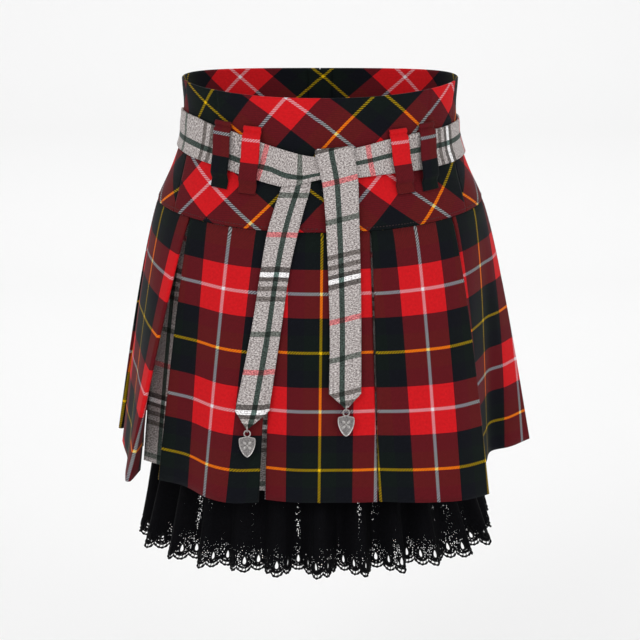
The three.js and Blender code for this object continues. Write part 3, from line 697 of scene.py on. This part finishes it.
def panel_piece(panel, number):
    name = panel[0]
    middle = SETT / 2 if panel[4] == "yellow" else 0.0
    scale, shift, hem_shift, slope = CUTS.get(name, (1.0, 0.0, 0.0, 0.0))
    points, charts, widths = [], [], []
    for r in range(PANEL_ROWS + 1):
        drop = r / PANEL_ROWS
        face = panel_face(panel, drop)
        left = rounded_return(face, -1, drop)
        right = rounded_return(face, 1, drop)
        radius = fold_depth(drop) / 2
        body = [stepped_in(face[0], face[1], radius), *face[1:-1], stepped_in(face[-1], face[-2], radius)]
        line = left[::-1] + body + right
        centre = len(left) + FACE_STEPS // 2
        lengths = running_lengths([point.to_2d() for point in line])
        chart = []
        for i, length in enumerate(lengths):
            u = length - lengths[centre]
            fall = drop * PLEAT_LENGTH - FIRST_WHITE + slope * (38 - u)
            chart.append((u * scale + mix(shift, hem_shift, drop) + middle, max(fall, -52.6)))
        # soft waves that fade towards the seam and the folds
        for i in range(len(left), len(line) - len(right)):
            k = (i - len(left)) / FACE_STEPS
            out = Vector((line[i + 1].y - line[i - 1].y, line[i - 1].x - line[i + 1].x, 0)).normalized()
            wave = 0.7 * math.sin(5.3 * k + number * 1.7 + 1.1 * drop)
            wave += 0.4 * math.sin(11 * k - 2.6 * drop + number)
            line[i] = line[i] + out * wave * drop ** 0.7 * math.sin(math.pi * min(max(k, 0), 1)) ** 0.6
        points.append(line)
        charts.append(chart)
        widths.append(lengths[-1])
    width = max(widths) * MM + 0.004
    sheet_piece(f"pleat_{name}", f"panel_{name}", points, charts, TARTAN, (round(width, 3), 0.268),
                "hung", "yoke_front_cloth", wall=PLEAT_CLOTH)


for number, panel in enumerate(PANELS):
    panel_piece(panel, number)


UNDERLAY_LAP = 12         # behind each panel's return
UNDERLAY_SHORTER = 6      # than the panels


def underlay_piece(panel, neighbour):
    """The grey check behind the opening between two panels."""
    points, charts = [], []
    rows, columns = 24, 16
    for r in range(rows + 1):
        drop = r / rows
        short = drop * (1 - UNDERLAY_SHORTER / PLEAT_LENGTH)
        near, near_along, near_in = panel_return(panel_face(panel, short), 1, short)
        far, far_along, far_in = panel_return(panel_face(neighbour, short), -1, short)
        behind = 1.4 + mix(0.8, 2, drop)
        start = near[-1] + near_in * behind + near_along * UNDERLAY_LAP
        end = far[-1] + far_in * behind + far_along * UNDERLAY_LAP
        inward = (near_in + far_in).normalized()
        centre = (start + end) / 2
        push = max(0.0, *((fold - centre).dot(inward) + behind for fold in (near[0], far[0])))
        line = [start.lerp(end, c / columns) + inward * push * math.sin(math.pi * c / columns) ** 2
                for c in range(columns + 1)]
        points.append(line)
        width = (end - start).length
        charts.append([((c / columns - 0.5) * width + 22, drop * 246 - 185) for c in range(columns + 1)])
    name = f"underlay_after_{panel[0]}"
    widest = max(charts[-1][-1][0] - charts[-1][0][0], charts[0][-1][0] - charts[0][0][0]) * MM
    sheet_piece(f"{name}_cloth", name, points, charts, CHECK, (round(widest + 0.006, 3), 0.262),
                "hung", f"pleat_{panel[0]}", slot="check", wall=PLEAT_CLOTH)


for number, panel in enumerate(PANELS):
    underlay_piece(panel, PANELS[(number + 1) % len(PANELS)])


# Gathered lace

def ruffle(turn):
    phase = 2 * math.pi * turn
    size = 1 + 0.28 * math.sin(5 * phase + 0.6) + 0.16 * math.sin(11 * phase + 2.1)
    return size * math.sin(WAVES * phase + 0.7 * math.sin(3 * phase) + 0.4)


def flutter(turn, fall):
    """Small folds between the ruffles, growing towards the hem."""
    phase = 2 * math.pi * turn
    return fall * (0.9 * math.sin(73 * phase + 1.6 * math.sin(9 * phase))
                   + 0.6 * math.sin(121 * phase + 2.2 * math.sin(7 * phase)))


def corner_swing(degrees):
    turned = degrees - 360 if degrees > 180 else degrees
    return sum(reach * math.exp(-((turned - corner) / 20) ** 2) for corner, reach in LACE_CORNERS)


# distance down, half sizes at the side, front and back, and depth of the waves
LACE_ROWS = ((-LACE_HIP_Z, 156, 139, 145, 6), (-LACE_HEM_Z, 166, 163, 164, 10.5))


def lace_point(turn, z):
    if z > LACE_HIP_Z:
        share = (LACE_TOP_Z - z) / (LACE_TOP_Z - LACE_HIP_Z)
        degrees = turn * 360
        rim, seam = yoke_point(degrees, 0).z, yoke_point(degrees, 1).z
        top = off_yoke(degrees, (rim - LACE_TOP_Z) / (rim - seam), 0.6 * ruffle(turn) - 3.7)
        point = top.lerp(lace_point(turn, LACE_HIP_Z), share)
        point.z = z
        return point
    side, front, back, wave = look_up(LACE_ROWS, -z)
    angle = 2 * math.pi * turn
    x, y = body_curve(angle, side, front, back)
    out = Vector((x / side ** 2, y / (front if y < 0 else back) ** 2)).normalized()
    fall = (LACE_HIP_Z - z) / (LACE_HIP_Z - LACE_HEM_Z)
    swing = wave * ruffle(turn) + flutter(turn, fall) + min(fall, 1) * corner_swing(turn * 360)
    return Vector((x - 8 + out.x * swing, y + out.y * swing, z))


def measure_lace():
    """Turns that cut the hem into equal lengths, eight to a scallop."""
    steps = 8000
    lengths = running_lengths([lace_point(i / steps, LACE_HEM_Z) for i in range(steps + 1)])
    return [(at + k) / steps for at, k in equal_cuts(lengths, SCALLOPS * 8)], lengths[-1] / SCALLOPS


LACE_TURNS, SCALLOP_WIDTH = measure_lace()


def on_lace(scallop, down):
    """A point of the lace at a place counted in scallops and a depth below the scallops' top."""
    place = min(max(scallop * 8, 0), len(LACE_TURNS) - 1)
    low = min(int(place), len(LACE_TURNS) - 2)
    turn = mix(LACE_TURNS[low], LACE_TURNS[low + 1], place - low)
    return lace_point(turn, SCALLOP_TOP_Z - down)


def lace_out(scallop, down):
    across = on_lace(scallop + 0.04, down) - on_lace(scallop - 0.04, down)
    return Vector((across.y, -across.x, 0)).normalized()


def scallop_edge(across):
    """Depth of the scalloped hem below the scallops' top."""
    return 13.2 + 4.6 * math.sin(math.pi * across) ** 0.7


PEAR_MIDDLE = 7.6         # below the scallops' top


def pear(turn):
    """The pear-shaped eyelet's outline: across as a share of a scallop, and depth."""
    wide = 0.16 * (1 - 0.35 * math.cos(turn))
    return 0.5 + wide * math.sin(turn), PEAR_MIDDLE - 4.2 * math.cos(turn)


TOP_STEPS, SIDE_STEPS, FOOT_STEPS = 4, 4, 8
NET_EDGE = 3.4            # the net ends at the inner cord, above the edging cord
BARS = (0.0, 0.17, 0.39, 0.61, 0.83)


def scallop_outline():
    """Clockwise round one scallop's net from its top left corner, seen from outside."""
    top = [(i / TOP_STEPS, 0.0) for i in range(TOP_STEPS)]
    corner = scallop_edge(0) - NET_EDGE
    right = [(1.0, corner * i / SIDE_STEPS) for i in range(SIDE_STEPS)]
    foot = [(1 - i / FOOT_STEPS, scallop_edge(i / FOOT_STEPS) - NET_EDGE) for i in range(FOOT_STEPS)]
    left = [(0.0, corner * (1 - i / SIDE_STEPS)) for i in range(SIDE_STEPS + 1)]
    return top + right + foot + left


OUTLINE = scallop_outline()


def add_cord(bm, places, radius, sides):
    """A cord on the lace along places, each in scallops and a depth."""
    add_tube(bm, [on_lace(*at) for at in places], [lace_out(*at) for at in places], radius, sides)


def lace_half(name, first, count):
    """The net with its pierced scallops, and the cords on it."""
    bm = bmesh.new()
    levels = [LACE_TOP_Z - i * 30 for i in range(9)] + [-350, LACE_HIP_Z]
    levels += [*range(-376, -417, -8), SCALLOP_TOP_Z]
    places = [first + c / TOP_STEPS for c in range(count * TOP_STEPS + 1)]
    add_grid(bm, [[on_lace(place, SCALLOP_TOP_Z - z) for place in places] for z in levels],
             [[(place * SCALLOP_WIDTH, -z) for place in places] for z in levels])
    for s in range(first, first + count):
        rings, ring_charts = [], []
        for step in range(4):
            ring = []
            for across, down in OUTLINE:
                inner = pear(math.atan2((across - 0.5) * SCALLOP_WIDTH, PEAR_MIDDLE - down))
                ring.append((s + mix(across, inner[0], step / 3), mix(down, inner[1], step / 3)))
            rings.append([on_lace(*at) for at in ring])
            ring_charts.append([(at[0] * SCALLOP_WIDTH, at[1] - SCALLOP_TOP_Z) for at in ring])
        add_grid(bm, rings, ring_charts)
    piece = finish_piece(f"{name}_cloth", bm, LACE, slot="lace", wall=LACE_CLOTH, merge=0.05)
    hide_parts(name)

    cords = bmesh.new()
    steps = 16
    for depth, radius, picot in ((0.0, 0.95, 0.30), (-NET_EDGE, 0.85, 0.0)):
        places = [first + i / steps for i in range(count * steps + 1)]
        add_cord(cords, [(place, scallop_edge(place % 1) + depth) for place in places],
                 lambda i, r=radius, p=picot: r * (1 + p * math.sin(i * math.pi * 0.5)), 6)
    for s in range(first, first + count):
        ring = [pear(2 * math.pi * i / 12) for i in range(13)]
        add_cord(cords, [(s + across, down) for across, down in ring], 0.95, 5)
        for across in BARS:
            down = scallop_edge(across)
            bar = [on_lace(s + across, down - NET_EDGE), on_lace(s + across, down)]
            add_tube(cords, bar, [lace_out(s + across, down)] * 2, 0.45, 4)
    trim = finish_piece(f"{name}_cords", cords, CORD, slot="lace", merge=0.01, turn=True)


lace_half("lace_right", 0, SCALLOPS // 2)
lace_half("lace_left", SCALLOPS // 2, SCALLOPS // 2)


# Sash

LEFT_WHITE, RIGHT_WHITE = look_up(ARC, -41)[0], look_up(ARC, 62)[0]
BACK_MISMATCH = (LEFT_WHITE - RIGHT_WHITE + 2 * ARC[-1][1] + CHECK_REPEAT / 2) % CHECK_REPEAT
BACK_MISMATCH -= CHECK_REPEAT / 2
BELT_WIDTH = 35           # on its cut


def climb(value, start, width):
    """0 up to start, 1 from start + width on."""
    return min(max((value - start) / width, 0), 1)


def belt_band():
    """The band round the waist, with its pattern turned down and pulled where it goes into the knot."""
    columns, rows = 300, 10
    points, charts = [], []
    for r in range(rows + 1):
        edge = r / rows
        row, chart = [], []
        for c in range(columns + 1):
            degrees = c / columns * 360 - 180
            upper, lower = smooth_look_up(BELT_EDGES, degrees, 2.0)
            before, after = (sum(smooth_look_up(BELT_EDGES, degrees + step, 6.0)) for step in (-4, 4))
            lean = 58 * (after - before) / (look_up(ARC, degrees + 4)[0] - look_up(ARC, degrees - 4)[0])
            near = math.exp(-((degrees / 22) ** 2))
            pinch = math.exp(-((degrees + 2) / 20) ** 2)
            soft_crease = 0.3 * math.sin(2 * math.pi * (1.3 * edge + degrees / 70))
            sharp_crease = 1.1 * pinch * math.sin(2 * math.pi * (2.1 * edge + degrees / 55))
            creased = math.sin(math.pi * edge) * (soft_crease + sharp_crease)
            row.append(off_yoke(degrees, mix(upper, lower, edge), 1.6 + 2.4 * near + creased))
            arc = look_up(ARC, degrees)[0]
            white = LEFT_WHITE if degrees < 6 else RIGHT_WHITE
            white += math.copysign(BACK_MISMATCH / 2, degrees) * max(abs(degrees) - 75, 0) / 105
            turned = 7 * climb(degrees, -17, 12) * (degrees < 4)
            pulled = 7 * climb(degrees, -36, 8) * (degrees < 6)
            chart.append((edge * BELT_WIDTH - mix(18, 11, climb(degrees, -30, 60)) - turned,
                          white + pulled - arc - lean * BELT_WIDTH * (edge - 0.5)))
        points.append(row)
        charts.append(chart)
    sheet_piece("sash_band", "belt_band", points, charts, CHECK, (0.80, 0.042), "folded",
                "yoke_front_cloth", slot="check", wall=BELT_CLOTH, merge=0.05)


belt_band()
SEAM_FRONT_Z, HEM_FRONT_Z = -122, -370
FRONT_LINES = {}


def front_y(x, z):
    """The cloth that lies under the hanging ends."""
    key = round(z, 2)
    if key not in FRONT_LINES:
        if z > SEAM_FRONT_Z:
            line = []
            for degrees in range(-60, 61, 3):
                share = 0.5
                for _ in range(6):
                    share += (yoke_point(degrees, share).z - z) / 120
                line.append(yoke_point(degrees, share))
        else:
            drop = min((z - SEAM_FRONT_Z) / (HEM_FRONT_Z - SEAM_FRONT_Z), 1)
            line = [point for panel in (PANELS[-1], PANELS[0], PANELS[1])
                    for point in panel_face(panel, drop, FEW_STEPS)]
        FRONT_LINES[key] = sorted((point.x, point.y) for point in line)
    return look_up(FRONT_LINES[key], x)[0]


def sash_end(side, stations, white_z, direction, stripe, tilt):
    """A hanging end down its stations to its point, with the white band at white_z."""
    rows, tip_rows, columns = 88, 8, 12
    track = [Vector(row[:3]) for row in stations]
    offs = [Vector((row[3], 0, 0)) for row in stations]
    points, charts = [], []
    body = len(stations) - 2
    for r in range(rows + tip_rows + 1):
        if r >= rows:
            span = body + (r - rows) / tip_rows
            left, right, z, off = (mix(p, q, span - body) for p, q in zip(*stations[-2:]))
        else:
            span = body * r / rows
            left, right, z = spline(track[:-1], span / body)
            off = spline(offs[:-1], span / body).x
        row, chart = [], []
        for c in range(columns + 1):
            across = c / columns
            x = mix(left, right, across)
            cup = 0.5 * math.sin(math.pi * across) ** 0.8 * math.sin(span * 1.3 + 0.6)
            sag = tilt * (6 + 18 * (1 - across)) * math.exp(-((span - 2.6) / 1.5) ** 2)
            row.append(Vector((x, front_y(x, z) - off - cup, z - sag)))
            away = (across - 0.5) * (right - left)
            chart.append((away + stripe, direction * (z - white_z - tilt * away)))
        points.append(row)
        charts.append(chart)
    sheet_piece(f"sash_end_{side}", f"belt_end_{side}", points, charts, CHECK, (0.04, 0.30), "hung",
                "sash_band", slot="check", wall=BELT_CLOTH)


sash_end("right", RIGHT_END, -164, 1, 8.2, 0.22)
sash_end("left", LEFT_END, -160, -1, 3.4, 0.0)


# Carrier loops

LOOP_WIDTH = 17


def carrier_loop(name, deg_top, deg_foot, top, foot, pattern, white):
    rows, columns = 60, 10
    points, charts = [], []
    for r in range(rows + 1):
        at = r / rows
        off = smooth_look_up(LOOP_PROFILE, at, 0.012)[0]
        share, middle = mix(top, foot, at), mix(deg_top, deg_foot, at)
        arc = (yoke_point(middle + 1, share) - yoke_point(middle - 1, share)).length / 2
        row = [off_yoke(middle + (c / columns - 0.5) * LOOP_WIDTH / arc, share,
                        off + 0.4 * math.sin(math.pi * c / columns)) for c in range(columns + 1)]
        points.append(row)
        charts.append([((c / columns - 0.5) * LOOP_WIDTH + pattern, at * (foot - top) * 124 - white)
                       for c in range(columns + 1)])
    sheet_piece(f"{name}_cloth", name, points, charts, TARTAN, (0.018, 0.085), "folded",
                "yoke_front_cloth", digits=5, wall=CLOTH)


for loop in LOOPS:
    carrier_loop(*loop)


# Charms

CHARM_HEIGHT = 19.8
CHARM_HALF_WIDTH = 7.8
SHOULDER_DROP = 1.4
LOOP_SIZE = 2.9           # the loop's middle line
LOOP_WIRE = 0.7


def shield_half(down):
    """Half width of the shield at a depth below its top."""
    if down < SHOULDER_DROP:
        return CHARM_HALF_WIDTH * 0.86 * down / SHOULDER_DROP
    if down < SHOULDER_DROP + 1.6:
        return CHARM_HALF_WIDTH * (0.86 + 0.14 * math.sin((down - SHOULDER_DROP) / 1.6 * math.pi / 2))
    low = max((down - 6.4) / (CHARM_HEIGHT - 6.4), 0)
    return CHARM_HALF_WIDTH * (1 - low ** 2) ** 0.62 * (1 - 0.18 * low)


def add_wire_ring(bm, centre, radius, axis, wire, segments, steps):
    """A round wire bent to a closed ring; radius runs from its centre to its middle line."""
    circle = bmesh.ops.create_circle(bm, segments=segments, radius=wire * MM,
                                     matrix=Matrix.Translation((centre + radius) * MM))
    edges = list({edge for vertex in circle["verts"] for edge in vertex.link_edges})
    bmesh.ops.spin(bm, geom=circle["verts"] + edges, cent=centre * MM, axis=axis,
                   angle=2 * math.pi, steps=steps, use_merge=True)


def hang(bm, side):
    """What was made round the origin leaned and moved to its ring, smooth and with its faces out."""
    lean = Matrix.Rotation(math.radians(-END_LEAN), 4, "X")
    bmesh.ops.transform(bm, verts=bm.verts, matrix=Matrix.Translation(RING_CENTRES[side] * MM) @ lean)
    for face in bm.faces:
        face.smooth = True
    bmesh.ops.recalc_face_normals(bm, faces=bm.faces)


def charm(side):
    """Shield plate with a raised rim and rosette, and its face-on loop, hung from the ring."""
    bm = bmesh.new()
    eye_z = WIRE_RADIUS + 0.1 - RING_RADIUS - 2.2
    top_z = eye_z - 3.6 + 1.2
    depths = [0, 1.4, 1.8, 2.3, 3.0] + [3 + (CHARM_HEIGHT - 3) * i / 11 for i in range(1, 12)]
    right = [(shield_half(down), top_z - down) for down in depths]
    edge = right + [(-x, z) for x, z in right[::-1][1:-1]]
    plate = bmesh.ops.create_circle(bm, cap_ends=True, segments=len(edge), radius=1.0)["verts"]
    for vertex, (x, z) in zip(plate, edge[::-1]):
        vertex.co = Vector((x, -0.3, z)) * MM
    bmesh.ops.recalc_face_normals(bm, faces=bm.faces)
    face = bm.faces[:][0]
    if face.normal.y > 0:
        bmesh.ops.reverse_faces(bm, faces=[face])
    grown = bmesh.ops.extrude_face_region(bm, geom=[face])
    front = [g for g in grown["geom"] if isinstance(g, bmesh.types.BMFace)][0]
    bmesh.ops.translate(bm, verts=front.verts, vec=Vector((0, -0.8 * MM, 0)))
    bmesh.ops.inset_region(bm, faces=[front], thickness=0.8 * MM)
    bmesh.ops.translate(bm, verts=front.verts, vec=Vector((0, 0.45 * MM, 0)))
    front.material_index = 1
    middle = Vector((0, -0.85, top_z - 8.6)) * MM
    for petal in range(4):
        turn = math.pi / 4 + math.pi / 2 * petal
        off = Vector((math.cos(turn), 0, math.sin(turn))) * 3.1 * MM
        shape = (Matrix.Translation(middle + off)
                 @ Matrix.Rotation(-turn, 4, "Y") @ Matrix.Diagonal((2.2, 0.6, 1.35, 1)))
        bmesh.ops.create_icosphere(bm, subdivisions=2, radius=1 * MM, matrix=shape)
    bmesh.ops.create_icosphere(bm, subdivisions=2, radius=1.2 * MM,
                               matrix=Matrix.Translation(middle) @ Matrix.Diagonal((1, 0.8, 1, 1)))
    add_wire_ring(bm, Vector((0, 0, eye_z)), Vector((LOOP_SIZE, 0, 0)), (0, 1, 0), LOOP_WIRE, 10, 28)
    hang(bm, side)
    piece = finish_piece(f"shield_charm_{side}", bm, PEWTER, body=f"{side}_charm", slot="metal", merge=0.005)
    piece.data.materials.append(PEWTER_FIELD)
    soften = piece.modifiers.new("cast_edges", "BEVEL")
    soften.width, soften.segments, soften.limit_method = 0.2 * MM, 2, "ANGLE"
    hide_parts(f"charm_{side}")


def jump_ring(side):
    bm = bmesh.new()
    add_wire_ring(bm, Vector((0, 0, 0)), Vector((0, RING_RADIUS, 0)), (1, 0, 0), WIRE_RADIUS, 12, 36)
    hang(bm, side)
    piece = finish_piece(f"jump_ring_{side}", bm, PEWTER, slot="metal", merge=0.005)
    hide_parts(f"charm_ring_{side}")


for side in ("right", "left"):
    charm(side)
    jump_ring(side)


# Stitches

def stitch_row(name, places):
    """Short threads lying on the cloth, each from a pair of points and a direction out."""
    bm = bmesh.new()
    for start, end, out in places:
        along = (end - start).normalized()
        side = out.cross(along).normalized()
        turn = Matrix((along, side, out)).transposed().to_4x4()
        size = Matrix.Diagonal(((end - start).length / 2, 0.32, 0.28, 1))
        at = Matrix.Translation((start + end) / 2 * MM)
        bmesh.ops.create_uvsphere(bm, u_segments=6, v_segments=4, radius=MM, matrix=at @ turn @ size)
    for face in bm.faces:
        face.smooth = True
    finish_piece(name, bm, THREAD, merge=0.0001)


def ring_stitches(share, spacing=1.15):
    count = int(360 / spacing)
    for i in range(count):
        degrees = i * 360 / count
        start, end = off_yoke(degrees, share, 0.15), off_yoke(degrees + spacing * 0.62, share, 0.15)
        yield start, end, (start - yoke_point(degrees, share)).normalized()


stitch_row("yoke_seam_topstitching", ring_stitches(0.975))


# Studio

def studio_sweep():
    """Pale paper sweep: a floor that curves up behind."""
    bm = bmesh.new()
    profile = [(-4, -0.75), (0, -0.75), (1.6, -0.75), (2.1, -0.70), (2.5, -0.45), (2.65, 0.0),
               (2.7, 1.0), (2.7, 3.5)]
    points = [[Vector((x, y, z)) * 1000 for x in (-6, 0, 6)] for y, z in profile[::-1]]
    add_grid(bm, points, [[(0, 0)] * 3 for _ in points])
    paper = new_material("matt_paper", Base_Color=rgb("#f6f6f6"), Roughness=0.9)[0]
    mesh_object("paper_sweep", bm, paper)


def studio_light(name, place, target, size, watts):
    light = bpy.data.lights.new(name, "AREA")
    light.shape, light.size, light.energy = "DISK", size, watts
    lamp = bpy.data.objects.new(name, light)
    lamp.location = place
    lamp.rotation_euler = (Vector(target) - Vector(place)).to_track_quat("-Z", "Y").to_euler()
    bpy.context.scene.collection.objects.link(lamp)


studio_sweep()
studio_light("front_left_softbox", (-1.6, -2.4, 1.4), (0, 0, -0.2), 1.6, 20)
studio_light("front_right_softbox", (1.8, -2.2, 1.0), (0, 0, -0.2), 1.6, 15)
studio_light("back_softbox", (0, 1.6, 2.4), (0, 0.6, -0.2), 2.0, 24)

world = bpy.data.worlds.new("studio_air")
world.use_nodes = True
world.node_tree.nodes["Background"].inputs["Color"].default_value = (1, 1, 1, 1)
world.node_tree.nodes["Background"].inputs["Strength"].default_value = 0.72
bpy.context.scene.world = world
bpy.context.scene.view_settings.view_transform = "Standard"

camera = bpy.data.objects.new("photo_camera", bpy.data.cameras.new("photo_camera"))
camera.data.sensor_width = 36
camera.data.lens = 116.1
camera.location = (0, -1.9998, 0.2749)
camera.rotation_euler = (math.radians(75.67), 0, 0)
bpy.context.scene.collection.objects.link(camera)
bpy.context.scene.camera = camera
